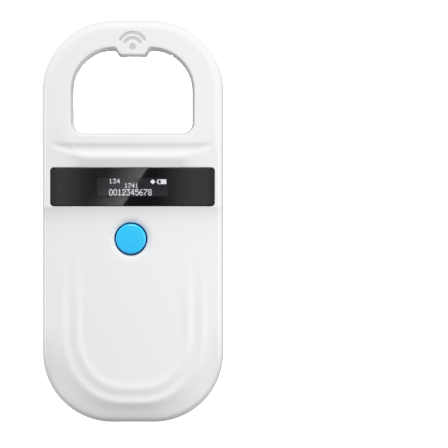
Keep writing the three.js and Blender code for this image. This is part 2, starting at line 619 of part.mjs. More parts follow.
// Battery, its protection board, tape, plug and leads
piece("battery_cell", box(-BATTERY.halfW, BATTERY.halfW, BATTERY.low, BATTERY.high, BATTERY.z,
  BATTERY.z + BATTERY.thick), MATERIAL.pouch);
piece("battery_tape", box(-11, 11, -58, -25, WALL + 0.1, BATTERY.z - 0.1), MATERIAL.foam);
piece("battery_protection_board", box(-15, 15, BATTERY.high + 0.2, BATTERY.high + 3.8, 4.4, 7.2),
  MATERIAL.kapton);
const PLUG = { x: 12, y: -1.5, z: 5.4 };
piece("battery_socket", solid(box(8, 16, -2, 4, 4.7, PCB.z - SOLDER))
  .subtract(solid(box(8.9, 15.1, -3, 3, 5.1, 8.5))), MATERIAL.ivory);
piece("battery_plug", box(9.3, 14.7, -5.5, 2.5, PLUG.z, 8.2), MATERIAL.ivory);
const leads = [["battery_lead_red", -1.3, MATERIAL.red], ["battery_lead_black", 1.3, MATERIAL.black]];
for (const [name, dx, material] of leads) {
  const x = PLUG.x + dx;
  const route = [[x, -5.6, 6.8], [x, -7.4, 6.8], [x + dx, -9, 6.2], [x, -10.6, 5.8], [x, -12.1, 5.8]];
  piece(name, wire(route, 0.55, 8), material);
}

// Aerial coil, its tape bands and its two leads
piece("aerial_coil", coil(), MATERIAL.copper);
piece("coil_tape_left", coilTape(-COIL.side, 50, false), MATERIAL.kapton);
piece("coil_tape_right", coilTape(COIL.side, 50, false), MATERIAL.kapton);
piece("coil_tape_top", coilTape(0, COIL.high, true), MATERIAL.kapton);
piece("coil_tape_bottom", coilTape(-20, COIL.low, true), MATERIAL.kapton);
for (const [name, x] of [["coil_lead_left", -4], ["coil_lead_right", 4]]) {
  const route = [[x, 28.2, 12], [x, 26.6, 12.2], [x, 25.2, 12.2], [x, 24.4, 11.8], [x, 24.2, 11.1]];
  piece(name, wire(route, 0.35, 6), MATERIAL.copper);
}

// Screws and the blank rating label
[...BOARD_SCREWS, ...NECK_SCREWS].forEach(([x, y], i) => {
  piece(`case_screw_${i + 1}`, screw(x, y), MATERIAL.metal);
});
piece("back_label", slab(labelShape(LABEL.w / 2, LABEL.h / 2), 0.1, LABEL.depth - 0.05, 4)
  .translate(LABEL.x, LABEL.y, 0), MATERIAL.label);

export default scanner;
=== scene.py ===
"""Microchip scanner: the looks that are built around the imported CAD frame."""

import json
import math

import bmesh
import bpy
import numpy as np
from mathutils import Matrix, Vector
from mathutils.geometry import delaunay_2d_cdt


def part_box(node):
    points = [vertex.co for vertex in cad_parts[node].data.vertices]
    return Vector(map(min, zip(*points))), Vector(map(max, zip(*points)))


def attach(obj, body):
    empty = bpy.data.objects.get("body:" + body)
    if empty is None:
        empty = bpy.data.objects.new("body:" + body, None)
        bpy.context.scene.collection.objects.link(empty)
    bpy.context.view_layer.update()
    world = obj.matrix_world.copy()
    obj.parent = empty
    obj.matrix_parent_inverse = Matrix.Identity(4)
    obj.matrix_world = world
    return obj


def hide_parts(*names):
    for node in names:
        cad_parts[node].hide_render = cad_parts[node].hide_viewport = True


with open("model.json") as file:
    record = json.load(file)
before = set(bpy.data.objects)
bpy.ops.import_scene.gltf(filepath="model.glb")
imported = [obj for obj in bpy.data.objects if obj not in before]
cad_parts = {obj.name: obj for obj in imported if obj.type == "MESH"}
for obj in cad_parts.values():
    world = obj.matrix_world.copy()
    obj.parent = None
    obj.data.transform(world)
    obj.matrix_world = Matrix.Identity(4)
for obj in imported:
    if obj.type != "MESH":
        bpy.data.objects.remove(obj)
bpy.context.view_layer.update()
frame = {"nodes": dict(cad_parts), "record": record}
nodes = frame["nodes"]

MM = 0.001
WELD = 2e-6            # metres: points nearer than this become one
SHARP_ANGLE = 35       # degrees: edges that bend more are shaded sharp

# ---------------------------------------------------------------- dimensions, in millimetres

HALF_W, HALF_L = 38.0, 84.3
R_LOW, R_HIGH = 29.3, 29.9      # the corners at the lower end and at the loop
FACE_Z, SPLIT_Z = 22.0, 11.0
DRAFT = 0.3           # how far the side leans in from the parting line to the rounded edge
SEAM = 0.25           # the small chamfer at the parting line
LOOP = dict(half_w=25.9, low=36.1, high=72.7, r_low=5.2, r_high=18.1)      # at the front face
LOOP_DRAFT, REAR_DRAFT = 1.05, 0.2    # the opening narrows to the parting line and widens again behind it
REAR_INSET, REAR_RADIUS = 0.4, 4.0    # the back's rounded edge is between these distances from the rim
# The tab below the icon: half widths, height and corners, and how much of the draft its faces have
TAB = dict(root=6.9, tip=5.1, drop=3.1, corner=0.95, side_draft=0.4, tip_draft=0.6)
LOOP_FILLET = 0.45    # the opening's rounded rim
WALL, RIM_WALL = 2.0, 2.2
ICON_Y, ICON_DOT, ICON_ARCS, ICON_WIDTH, ICON_SPREAD = 72.8, 1.35, (3.7, 5.9), 1.3, 58.0
ICON_DEPTH = 0.3
WINDOW = dict(half_w=34.25, half_h=8.05, y=14.4, thick=1.2, corner=1.6)
SEAT_GAP, SEAT_DEPTH = 0.15, 1.65
VIEW_HOLE = dict(half_w=16.0, half_h=5.0, corner=1.0)
LIT_AREA = ((-15.3, 14.9), (10.1, 18.2))      # x and y of the part of the window that is clear
SMOKE = 0.5            # how much of the display the clear part of the window hides
PANEL_PAINTED_GLOW, FIGURE_GLOW = 0.058, 3.6      # of the display's unlit dots, a painted glow that brightens the dimly lit panel under the smoked window, and of its lit dots, the display's own light
# The face rises from the grip to the loop in two banks, with a level shelf for the display between them
RISE = dict(start=-16.0, low=6.05, high=22.75, bank=0.36, power=4, rise=1.314, side_reach=17.0)
RIPPLE_RIM = 37.7
BUTTON, BUTTON_SIDES = (-0.7, -7.3), 96
CAP_R, FLANGE_R, HOLE_R = 6.25, 7.9, 6.9
DIMPLE_R, DIMPLE_DEPTH, DIMPLE_POWER = 9.4, 0.7, 1.7
COLLAR_R, COLLAR_Z = 8.6, 17.4
CEILING_Z, CEILING_INSET, FLOOR_Z, FLOOR_INSET = 19.8, 9, 2.0, 4.4      # the inner faces
GROOVE_TOP, GROOVE_CREST, GROOVE_BOW, GROOVE_HALF = 33.0, 28.0, 4.2, 34.3      # the scoop under the loop
GROOVE_POWER = 6       # how suddenly it closes at its two ends
CREASE_HALF = 34.2     # of its sharp upper edge
SCREW_Z, HEAD_HEIGHT = 3.95, 1.5          # the plane where a case screw's head meets its seat
SCREWS = [(-24.5, -4), (24.5, -4), (-22, -56), (22, -56), (-31, 26), (31, 26)]
BOSS = dict(r=3.4, top=9.1, hole_r=1.4, seat_z=4, counter_r=2.6, mouth_r=2.8, at_wall=28.5, wall_top=10.8)
BOSS_SIDES = 48
SLOT = dict(half_w=4.77, low=SPLIT_Z, high=14.56, corner=1.75)
LABEL = (0.0, -38.0, 44.0, 26.0)          # centre, width and height of the label's recess
LABEL_DEPTH, LABEL_GAP = 0.35, 0.2
BUZZER, SOUND_R = (-15.0, 8.0), 0.7
SOUND_HOLES = [(0, 0), (2.2, 0), (-2.2, 0), (0, 2.2), (0, -2.2)]

# ---------------------------------------------------------------- stage settings

# Each light: azimuth and elevation in degrees, distance and size in metres, power in watts
LIGHTS = {"key": (4, 36, 2.2, 0.7, 42.0), "left": (268, 5, 1.5, 0.5, 10.0),
          "right": (92, 5, 1.5, 0.5, 4.0), "near": (90, 45, 0.4, 0.2, 0.62),
          "front": (180, 8, 1.5, 0.5, 2.0), "under": (0, -87, 1.5, 0.14, 15.0)}
AMBIENT = 0.275
FLOOR_HALF, FLOOR_DROP = 3000, 0.05       # its half width and its distance below the back, in millimetres
FLOOR_GLOW = 2.3       # the pale floor glows like a light table, so that no shadow shows on it
CAMERA_PLACE = (0.0382, -0.0011, 0.022 + 1.76)      # in metres, looking straight down at the face
CAMERA_LENS, CAMERA_SENSOR = 338.6, 36.0

# ---------------------------------------------------------------- plan curves


def rounded(half_w, low, high, r_low, r_high, step=0.6):
    """A rounded rectangle, anticlockwise: its points and their outward normals."""
    points, normals = [], []

    def arc(cx, cy, r, start):
        count = max(4, round(r * math.pi / 2 / step))
        for i in range(count + 1):
            a = start + i / count * math.pi / 2
            points.append((cx + r * math.cos(a), cy + r * math.sin(a)))
            normals.append((math.cos(a), math.sin(a)))

    def line(a, b, normal):
        count = max(1, round(math.dist(a, b) / step))
        for i in range(1, count):
            points.append(tuple(np.array(a) + (np.array(b) - np.array(a)) * i / count))
            normals.append(normal)

    corners = [(half_w - r_low, low + r_low, r_low, -90), (half_w - r_high, high - r_high, r_high, 0),
               (r_high - half_w, high - r_high, r_high, 90), (r_low - half_w, low + r_low, r_low, 180)]
    for k, (cx, cy, r, start) in enumerate(corners):
        arc(cx, cy, r, math.radians(start))
        nx, ny, nr, nstart = corners[(k + 1) % 4]
        a = math.radians(start + 90)
        normal = (math.cos(a), math.sin(a))
        line((cx + r * normal[0], cy + r * normal[1]), (nx + nr * normal[0], ny + nr * normal[1]), normal)
    return np.array(points), np.array(normals)


def circle(x, y, r, count=64):
    """A circle as an anticlockwise loop."""
    a = np.linspace(0, 2 * math.pi, count, endpoint=False)
    return np.column_stack([x + r * np.cos(a), y + r * np.sin(a)])


def offset(loop, distance):
    """The loop moved outwards along its own normals."""
    along = np.roll(loop, -1, 0) - np.roll(loop, 1, 0)
    along /= np.linalg.norm(along, axis=1)[:, None]
    return loop + distance * np.column_stack([along[:, 1], -along[:, 0]])


OUTLINE, OUTLINE_N = rounded(HALF_W, -HALF_L, HALF_L, R_LOW, R_HIGH)


def outline(inset):
    """The case's outline, moved inwards."""
    return OUTLINE - OUTLINE_N * inset


def rounded_corner(a, b, c, r, count=6):
    """Points that round the corner b between the directions to a and to c."""
    a, b, c = (np.array(p, float) for p in (a, b, c))
    p = b + (a - b) / np.linalg.norm(a - b) * r
    q = b + (c - b) / np.linalg.norm(c - b) * r
    t = np.linspace(0, 1, count)[:, None]
    return (1 - t) ** 2 * p + 2 * t * (1 - t) * b + t ** 2 * q


def loop_opening(grow=0.0):
    """The D-shaped opening with its tab, anticlockwise, grown by an offset.

    It always has the same number of points, so that strips can join two of them.
    """
    plain, _ = rounded(LOOP["half_w"] + grow, LOOP["low"] - grow, LOOP["high"] + grow,
                       LOOP["r_low"] + grow, LOOP["r_high"] + grow)
    corner, high = TAB["corner"], LOOP["high"] + grow
    root, tip = TAB["root"] - TAB["side_draft"] * grow, TAB["tip"] - TAB["side_draft"] * grow
    low = LOOP["high"] - TAB["drop"] + TAB["tip_draft"] * grow
    reach = root + 2 * corner
    start = next(i for i in range(len(plain)) if plain[i][1] > high - 1e-6 and plain[i][0] < reach)
    last = max(i for i in range(len(plain)) if plain[i][1] > high - 1e-6 and plain[i][0] > -reach)
    knots = [(reach, high), (root, high), (tip, low), (-tip, low), (-root, high), (-reach, high)]
    tab = np.vstack([rounded_corner(*knots[k - 1:k + 2], corner) for k in range(1, 5)])
    rest = np.vstack([tab[-1:], plain[last + 1:], plain[:start], tab[:1]])
    return np.vstack([spread(tab, 56)[:-1], spread(rest, 330)[:-1]])


def spread(path, count):
    """The open path as count points at even distances."""
    lengths = np.concatenate([[0], np.cumsum(np.linalg.norm(np.diff(path, axis=0), axis=1))])
    at = np.linspace(0, lengths[-1], count)
    return np.column_stack([np.interp(at, lengths, path[:, k]) for k in (0, 1)])


def resample(loop, step):
    """The closed loop with its points at even distances of about step."""
    closed = np.vstack([loop, loop[:1]])
    length = np.linalg.norm(np.diff(closed, axis=0), axis=1).sum()
    return spread(closed, round(length / step) + 1)[:-1]


def arc_bar(radius):
    """One of the icon's arcs, with round ends."""
    angle, half = math.radians(ICON_SPREAD), ICON_WIDTH / 2

    def arc(cx, cy, r, start, end, count):
        a = np.linspace(start, end, count)
        return np.column_stack([cx + r * np.cos(a), cy + r * np.sin(a)])

    up = math.pi / 2
    low, high = up - angle, up + angle
    ends = [(radius * math.cos(a), radius * math.sin(a)) for a in (high, low)]
    made = [arc(0, 0, radius + half, low, high, 60), arc(*ends[0], half, high, high + math.pi, 16)[1:-1],
            arc(0, 0, radius - half, high, low, 60), arc(*ends[1], half, low - math.pi, low, 16)[1:-1]]
    return resample(np.vstack(made), 0.2) + [0, ICON_Y]


# ---------------------------------------------------------------- the front face as a height


def smooth(a, b, v):
    """0 at a and before, 1 at b and beyond, with a soft step between them."""
    t = np.clip((v - a) / (b - a), 0, 1)
    return t * t * (3 - 2 * t)


def profile(pairs, blur):
    """A smooth curve through (position, height) pairs."""
    step, reach, margin = 0.05, 40, 3
    x, h = np.array(pairs, float).T
    fine = np.arange(x[0] - margin, x[-1] + margin, step)
    values = np.interp(fine, x, h)
    kernel = np.exp(-0.5 * (np.arange(-reach, reach + 1) * step / blur) ** 2)
    padded = np.pad(values, reach, mode="edge")
    values = np.convolve(padded, kernel / kernel.sum(), "valid")
    return lambda v: np.interp(v, fine, values)


# Groove under the loop: depth against the distance below its straight upper edge
groove_depth = profile(
    [(0, 0), (0.4, 0.06), (1.0, 0.3), (1.8, 0.64), (2.4, 0.76), (3.0, 0.78), (3.8, 0.72), (4.5, 0.55),
     (5.0, 0.31), (5.4, 0.08), (5.7, 0), (9, 0)], 0.15)
# The lower end, against the distance from the rim: a fall to the edge with two soft ripples
end_fall = profile(
    [(0, -4.15), (2.5, -2.9), (4.7, -2.0), (6.2, -1.25), (7.7, -0.4), (8.5, -0.2), (9.6, -0.36),
     (11.0, -0.3), (13.4, 0.27), (14.4, 0.33), (15.3, 0.14), (16.6, 0), (20, 0)], 0.36)
OUTER_CREST = 8.5      # the outer ripple's distance from the rim
END_FROM, END_TO = -44, -70      # the lower end's shape takes over from the sides between these
# The same ripples along the sides, which fade in below SIDE_FROM
SIDE_FROM = -4
side_ripple = profile(
    [(0, 0), (6.3, 0), (8.6, 0.66), (10.9, 0.0), (12.1, 0.0), (14.6, 0.72), (17, 0), (20, 0)], 0.42)


def inset_of(x, y):
    """The distance in from the outline."""
    r = np.where(y < 0, R_LOW, R_HIGH)
    qx, qy = np.abs(x) - (HALF_W - r), np.abs(y) - (HALF_L - r)
    return r - np.hypot(np.maximum(qx, 0), np.maximum(qy, 0)) - np.minimum(np.maximum(qx, qy), 0)


def ripple_place(x, y):
    """Distance from the rim that the ripples follow: straight sides and an elliptical lower end."""
    turn, centre = -46.0, 3.7
    a, b = RIPPLE_RIM - centre, RIPPLE_RIM
    dx, dy = np.maximum(np.abs(x) - centre, 1e-6), np.minimum(y - turn, -1e-6)
    r = np.hypot(dx, dy)
    rim = a * b / np.sqrt((b * dx / r) ** 2 + (a * dy / r) ** 2)
    return np.where(y > turn, RIPPLE_RIM - np.abs(x), rim - r)


def rise(y, x=0.0):
    """The height of the face over the grip: two banks with a level shelf between them.

    The upper bank is short in the middle and long at both sides, and its top is eased.
    """
    run, power = RISE["low"] - RISE["start"], RISE["power"] + 1
    lower = RISE["bank"] * run / power * np.clip((y - RISE["start"]) / run, 0, 1) ** power
    short = RISE["rise"] / RISE["bank"]
    reach = short + (RISE["side_reach"] - short) * smooth(20, 34, np.abs(x))
    ease_from, ease_to = 0.8, 1.2
    t = np.clip((y - RISE["high"]) / reach, 0, ease_to)
    rounding = np.where(t > ease_from, (t - ease_from) ** 2 / (2 * (ease_to - ease_from)), 0)
    return lower + RISE["rise"] * (t - rounding)


def edge_size(y):
    """Width and height of the rounded edge, which is widest round the loop and lowest at the lower end."""
    end, round_loop = smooth(-40, -70, y), smooth(22, 40, y)
    width = 2.6 + 1.6 * round_loop - 0.4 * end
    height = 4.2 - 1.0 * end
    return width, height


def face_z(x, y, inset=None):
    """The height of the front face, down to the foot of its rounded edge."""
    x, y = np.asarray(x, float), np.asarray(y, float)
    flare = np.minimum(np.abs(x) / GROOVE_HALF, 1) ** GROOVE_POWER
    crest = GROOVE_CREST + GROOVE_BOW * flare
    span = GROOVE_TOP - GROOVE_CREST
    below = np.where(y > crest, span * (GROOVE_TOP - y) / (GROOVE_TOP - crest), span + crest - y)
    z = FACE_Z + rise(y, x) - groove_depth(below) * (1 - flare)
    end = smooth(END_FROM, END_TO, y)
    place = ripple_place(x, y)
    rim = np.maximum(inset_of(x, y), 1e-6)
    beyond = np.maximum(OUTER_CREST - place, 0)      # outside the outer ripple the fall ends at the rim
    fall_place = np.where(beyond > 0, OUTER_CREST * rim / (rim + beyond), place)
    z += end * end_fall(fall_place) + (1 - end) * smooth(SIDE_FROM, END_FROM, y) * side_ripple(place)
    r = np.hypot(x - BUTTON[0], y - BUTTON[1])
    dimple = np.clip(1 - (r - HOLE_R) / (DIMPLE_R - HOLE_R), 0, 1) ** DIMPLE_POWER
    z -= DIMPLE_DEPTH * dimple * (r > HOLE_R - 1)
    inset = inset_of(x, y) if inset is None else inset
    width, height = edge_size(y)
    t = np.clip((width - inset) / (width - DRAFT), 0, 1)
    return z - height * (1 - np.sqrt(1 - t * t))      # a quarter of an ellipse


# ---------------------------------------------------------------- meshes


def inside(points, loop):
    """Which points lie inside the loop."""
    found = np.zeros(len(points), bool)
    x, y = points[:, 0], points[:, 1]
    for (x0, y0), (x1, y1) in zip(loop, np.roll(loop, -1, 0)):
        if y0 == y1:
            continue
        crosses = ((y0 > y) != (y1 > y)) & (x < (x1 - x0) * (y - y0) / (y1 - y0) + x0)
        found ^= crosses
    return found


class Skin:
    """Collects strips and fills, in millimetres, and welds them into one mesh."""

    def __init__(self):
        self.verts, self.faces, self.count = [], [], 0

    def add(self, points, faces):
        """Points, and faces that count from the first of them."""
        self.verts.append(points)
        self.faces += [tuple(i + self.count for i in f) for f in faces]
        self.count += len(points)

    def strip(self, rows):
        """Quads between closed rows that all have the same number of points."""
        n = len(rows[0])
        faces = [(k * n + i, k * n + (i + 1) % n, (k + 1) * n + (i + 1) % n, (k + 1) * n + i)
                 for k in range(len(rows) - 1) for i in range(n)]
        self.add(np.vstack(rows), faces)

    def fill(self, height, outer, holes=(), spacing=None, extra=(), creases=()):
        """Triangles over the area inside outer and outside the holes.

        With a spacing the area also gets a grid of points, beside the extra points and along the creases.
        """
        row_pitch, near, nearest = 0.866, 0.55, 0.2      # the first two in spacings
        loops = [outer, *holes]
        points, edges, start = [], [], 0
        for loop in loops:
            points.append(loop)
            edges += [(start + i, start + (i + 1) % len(loop)) for i in range(len(loop))]
            start += len(loop)
        for crease in creases:
            points.append(crease)
            edges += [(start + i, start + i + 1) for i in range(len(crease) - 1)]
            start += len(crease)
        if spacing:
            fixed = np.vstack(points)
            low, high = outer.min(0), outer.max(0)
            gx, gy = np.meshgrid(np.arange(low[0], high[0], spacing),
                                 np.arange(low[1], high[1], spacing * row_pitch))
            gx[::2] += spacing / 2
            grid = np.column_stack([gx.ravel(), gy.ravel()])
            grid = np.vstack([*extra, clear_of(grid, np.vstack([fixed, *extra]), spacing * near)])
            grid = clear_of(grid, fixed, nearest)
            keep = inside(grid, outer)
            for hole in holes:
                keep &= ~inside(grid, hole)
            points.append(grid[keep])
        flat = np.vstack(points)
        co, _, faces, _, _, _ = delaunay_2d_cdt([Vector(p) for p in flat], edges, [], 0, 1e-6)
        co = np.array([tuple(v) for v in co])
        faces = np.array([f for f in faces if len(f) == 3])
        centre = co[faces].mean(1)
        keep = inside(centre, outer)
        for hole in holes:
            keep &= ~inside(centre, hole)
        self.add(np.column_stack([co, height(co[:, 0], co[:, 1])]), faces[keep].tolist())

    def mesh(self, name):
        """The whole as a mesh in metres, with its faces turned outwards."""
        mesh = bpy.data.meshes.new(name)
        mesh.from_pydata((np.vstack(self.verts) * MM).tolist(), [], self.faces)
        bm = bmesh.new()
        bm.from_mesh(mesh)
        bmesh.ops.remove_doubles(bm, verts=bm.verts, dist=WELD)
        bmesh.ops.recalc_face_normals(bm, faces=bm.faces)
        bm.to_mesh(mesh)
        bm.free()
        return mesh


def capped(name, rows):
    """A mesh of strips between closed rows, closed at both ends by one face each."""
    skin = Skin()
    skin.strip(rows)
    for ring in (rows[0], rows[-1]):
        skin.add(ring, [tuple(range(len(ring)))])
    return skin.mesh(name)


def clear_of(points, fixed, distance):
    """The points that are farther than distance from every fixed point."""
    keep, batch = np.ones(len(points), bool), 2000
    for start in range(0, len(points), batch):
        part = points[start:start + batch]
        apart = (part[:, None, 0] - fixed[None, :, 0]) ** 2 + (part[:, None, 1] - fixed[None, :, 1]) ** 2
        keep[start:start + batch] = apart.min(1) > distance ** 2
    return points[keep]


def lift(loop, z):
    """A plan loop as a row of points at height z: a number, or a function of x and y."""
    height = z(loop[:, 0], loop[:, 1]) if callable(z) else np.full(len(loop), float(z))
    return np.column_stack([loop, height])


def level(z):
    """A height function that is z everywhere."""
    return lambda x, y: np.full_like(x, z)


def place(name, mesh, mat, body, slot, *replaced):
    """Puts a finished piece into the scene, riding on its body."""
    mesh.materials.append(mat)
    for polygon in mesh.polygons:
        polygon.use_smooth = True
    mesh.set_sharp_from_angle(angle=math.radians(SHARP_ANGLE))
    obj = bpy.data.objects.new(name, mesh)
    bpy.context.scene.collection.objects.link(obj)
    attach(obj, body)
    if replaced:
        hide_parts(*replaced)
    return obj


def cut(obj, cutter):
    """Takes the cutter mesh out of the piece."""
    tool = bpy.data.objects.new("cutter", cutter)
    bpy.context.scene.collection.objects.link(tool)
    modifier = obj.modifiers.new("cut", "BOOLEAN")
    modifier.object, modifier.operation, modifier.solver = tool, "DIFFERENCE", "EXACT"
    bpy.context.view_layer.update()
    made = bpy.data.meshes.new_from_object(obj.evaluated_get(bpy.context.evaluated_depsgraph_get()))
    obj.modifiers.clear()
    obj.data = made
    bpy.data.objects.remove(tool)


# ---------------------------------------------------------------- materials


def ramp(nt, source, low, high):
    """Maps a 0 to 1 value to low to high."""
    node = nt.nodes.new("ShaderNodeMapRange")
    node.inputs["To Min"].default_value, node.inputs["To Max"].default_value = low, high
    nt.links.new(source, node.inputs["Value"])
    return node.outputs["Result"]


def noise(nt, scale, detail=3.0, stretch=(1, 1, 1)):
    """Noise in the object's own space, at scale features per metre."""
    coord = nt.nodes.new("ShaderNodeTexCoord")
    mapping = nt.nodes.new("ShaderNodeMapping")
    mapping.inputs["Scale"].default_value = stretch
    texture = nt.nodes.new("ShaderNodeTexNoise")
    texture.inputs["Scale"].default_value, texture.inputs["Detail"].default_value = scale, detail
    nt.links.new(coord.outputs["Object"], mapping.inputs["Vector"])
    nt.links.new(mapping.outputs["Vector"], texture.inputs["Vector"])
    return texture.outputs["Fac"]


def arithmetic(nt, operation, a, b=None):
    """A Math node of numbers or sockets."""
    node = nt.nodes.new("ShaderNodeMath")
    node.operation = operation
    for socket, value in zip(node.inputs, (a, b)):
        if isinstance(value, (int, float)):
            socket.default_value = value
        elif value is not None:
            nt.links.new(value, socket)
    return node.outputs["Value"]


def object_axes(nt):
    """The X, Y and Z outputs of the position in the object's own space."""
    split = nt.nodes.new("ShaderNodeSeparateXYZ")
    nt.links.new(nt.nodes.new("ShaderNodeTexCoord").outputs["Object"], split.inputs["Vector"])
    return split.outputs


def mix_colour(nt, factor, a, b):
    """Colour a where the factor is 0 and b where it is 1."""
    node = nt.nodes.new("ShaderNodeMix")
    node.data_type = "RGBA"
    node.inputs["A"].default_value, node.inputs["B"].default_value = (*a, 1), (*b, 1)
    nt.links.new(factor, node.inputs["Factor"])
    return node.outputs["Result"]


def bump(nt, shader, height, distance):
    """Makes the surface stand out by distance, in millimetres, where height is 1."""
    node = nt.nodes.new("ShaderNodeBump")
    node.inputs["Distance"].default_value = distance * MM
    nt.links.new(height, node.inputs["Height"])
    nt.links.new(node.outputs["Normal"], shader.inputs["Normal"])


def surface(name, colour, rough, metal=0.0, vary=0.03, mottle=60, grain=2500, grain_depth=0.004,
            stretch=(1, 1, 1), spread=0.05):
    """A material with mottled colour, uneven gloss and a fine grain. Scales are per metre."""
    mat = bpy.data.materials.new(name)
    mat.use_nodes = True
    nt = mat.node_tree
    shader = nt.nodes["Principled BSDF"]
    shader.inputs["Metallic"].default_value = metal
    low = tuple(c * (1 - vary) for c in colour)
    high = tuple(min(1, c * (1 + vary)) for c in colour)
    nt.links.new(mix_colour(nt, noise(nt, mottle, stretch=stretch), low, high), shader.inputs["Base Color"])
    nt.links.new(ramp(nt, noise(nt, mottle * 3, stretch=stretch), rough - spread, rough + spread),
                 shader.inputs["Roughness"])
    bump(nt, shader, noise(nt, grain, stretch=stretch), grain_depth)
    return mat


def make_glow(mat, colour, strength):
    """Adds light of its own to the material, and returns the shader."""
    shader = mat.node_tree.nodes["Principled BSDF"]
    shader.inputs["Emission Color"].default_value = (*colour, 1)
    shader.inputs["Emission Strength"].default_value = strength
    return shader


white = surface("shell_white", (0.79, 0.79, 0.80), 0.42, vary=0.008, mottle=35, grain=2200,
                grain_depth=0.003)
# The icon's grey is painted shade: a grey layer that darkens the bottom of the engraved icon
icon_shade_grey = surface("icon_painted_shade", (0.55, 0.55, 0.56), 0.5, vary=0.02)
blue = surface("button_blue", (0.03, 0.52, 1.0), 0.26, vary=0.02, grain=900, grain_depth=0.002)
black = surface("black_plastic", (0.02, 0.02, 0.023), 0.5, vary=0.15)
steel = surface("steel", (0.62, 0.62, 0.63), 0.3, metal=1.0, vary=0.08, stretch=(1, 12, 1))

# ---------------------------------------------------------------- front case

OPENING, THROAT = loop_opening(), loop_opening(-LOOP_DRAFT)
REAR_OPENING = loop_opening(REAR_DRAFT - LOOP_DRAFT)
LOOP_WALL, _ = rounded(LOOP["half_w"] + WALL, LOOP["low"] - WALL, LOOP["high"] + WALL,
                       LOOP["r_low"] + WALL, LOOP["r_high"] + WALL)
SEAT, _ = rounded(WINDOW["half_w"] + SEAT_GAP, WINDOW["y"] - WINDOW["half_h"] - SEAT_GAP,
                  WINDOW["y"] + WINDOW["half_h"] + SEAT_GAP, WINDOW["corner"], WINDOW["corner"], 0.5)
VIEW, _ = rounded(VIEW_HOLE["half_w"], WINDOW["y"] - VIEW_HOLE["half_h"], WINDOW["y"] + VIEW_HOLE["half_h"],
                  VIEW_HOLE["corner"], VIEW_HOLE["corner"], 0.5)


def seat_z(x, y):
    """The height of the ledge that the window lies on."""
    return FACE_Z + rise(y) - SEAT_DEPTH


def icon_loops():
    """The icon's dot and its two arcs."""
    return [circle(0, ICON_Y, ICON_DOT, 40)] + [arc_bar(r) for r in ICON_ARCS]


def front_case():
    """The front shell, without the charging slot."""
    skin = Skin()
    edge, edge_steps = 2.95, 14
    # outer side and rounded edge
    seam = ((RIM_WALL, SPLIT_Z), (SEAM, SPLIT_Z), (0.0, SPLIT_Z + SEAM))
    rows = [lift(outline(inset), z) for inset, z in seam]
    for k in range(edge_steps + 1):
        inset = DRAFT + (edge - DRAFT) * (1 - math.cos(k / edge_steps * math.pi / 2))
        rows.append(lift(outline(inset), lambda x, y: face_z(x, y, inset)))
    skin.strip(rows)
    # holes in the face, each with a small rounded rim
    rims = []

    def rimmed(loop, fillet, floor, steps, foot=None):
        """A hole's rounded rim and its wall, down to the foot loop at height floor."""
        rows = []
        for k in range(steps + 1):
            a = k / steps * math.pi / 2
            out = offset(loop, fillet * (1 - math.sin(a)))
            rows.append(lift(out, lambda x, y: face_z(x, y) - fillet * (1 - math.cos(a))))
        rims.append(offset(loop, fillet))
        rows.append(lift(loop if foot is None else foot, floor))
        skin.strip(rows)

    rimmed(OPENING, LOOP_FILLET, SPLIT_Z + SEAM, 5, THROAT)
    rimmed(SEAT, 0.12, seat_z, 2)
    button_hole = circle(*BUTTON, HOLE_R, BUTTON_SIDES)
    rimmed(button_hole, 0.25, COLLAR_Z, 3)
    for loop in icon_loops():
        rimmed(loop, 0.1, lambda x, y: face_z(x, y) - ICON_DEPTH, 2)
        skin.fill(lambda x, y: face_z(x, y) - ICON_DEPTH, loop)
    dimple = [circle(*BUTTON, r, BUTTON_SIDES) for r in (7.6, 8.1, 8.6, 9.1, 9.6, 10.1)]
    crease_x = np.linspace(-CREASE_HALF, CREASE_HALF, 137)
    crease = np.column_stack([crease_x, np.full_like(crease_x, GROOVE_TOP)])
    skin.fill(face_z, outline(edge), rims, spacing=0.75, extra=dimple, creases=[crease])
    # inside: parting rim, walls, ceiling
    inner = ((RIM_WALL, SPLIT_Z), (2.4, 15), (4.5, 17.5), (CEILING_INSET, CEILING_Z))
    skin.strip([lift(outline(inset), z) for inset, z in inner])
    skin.fill(level(SPLIT_Z), LOOP_WALL, [offset(THROAT, SEAM)])
    skin.strip([lift(offset(THROAT, SEAM), SPLIT_Z), lift(THROAT, SPLIT_Z + SEAM)])
    skin.strip([lift(LOOP_WALL, SPLIT_Z), lift(LOOP_WALL, CEILING_Z)])
    skin.fill(seat_z, SEAT, [VIEW])
    skin.strip([lift(VIEW, seat_z), lift(VIEW, CEILING_Z)])
    collar = circle(*BUTTON, COLLAR_R, BUTTON_SIDES)
    skin.strip([lift(button_hole, COLLAR_Z), lift(collar, COLLAR_Z), lift(collar, CEILING_Z)])
    skin.fill(level(CEILING_Z), outline(CEILING_INSET), [LOOP_WALL, VIEW, collar])
    return skin.mesh("front_case")


def slot_cutter():
    """The charging slot: rounded above, open to the parting line below."""
    low, high = SLOT["low"] - 3, SLOT["high"]
    loop, _ = rounded(SLOT["half_w"], low, high, 1.0, SLOT["corner"], 0.2)
    x, z = loop.T
    mouth = ((-HALF_L - 4, 1.12), (-HALF_L - 0.1, 1.045), (-HALF_L + 0.25, 1.0), (-78.0, 1.0))
    return capped("slot", [np.column_stack([x * grow, np.full(len(x), y), low + (z - low) * grow])
                           for y, grow in mouth])


front = place("front_case", front_case(), white, "case", "shell_white", "front_shell")
cut(front, slot_cutter())

shade_layer, shade_layer_depths = Skin(), (0.16, ICON_DEPTH - 0.01)      # a grey layer in the bottom of the engraved icon: painted shade that darkens its recess
for loop in icon_loops():
    small = offset(loop, -0.02)
    for depth in shade_layer_depths:
        shade_layer.fill(lambda x, y: face_z(x, y) - depth, small)
    shade_layer.strip([lift(small, lambda x, y: face_z(x, y) - depth) for depth in shade_layer_depths])
place("icon_shade_layer", shade_layer.mesh("icon_shade_layer"), icon_shade_grey, "case", "shell_white")

# ---------------------------------------------------------------- rear case


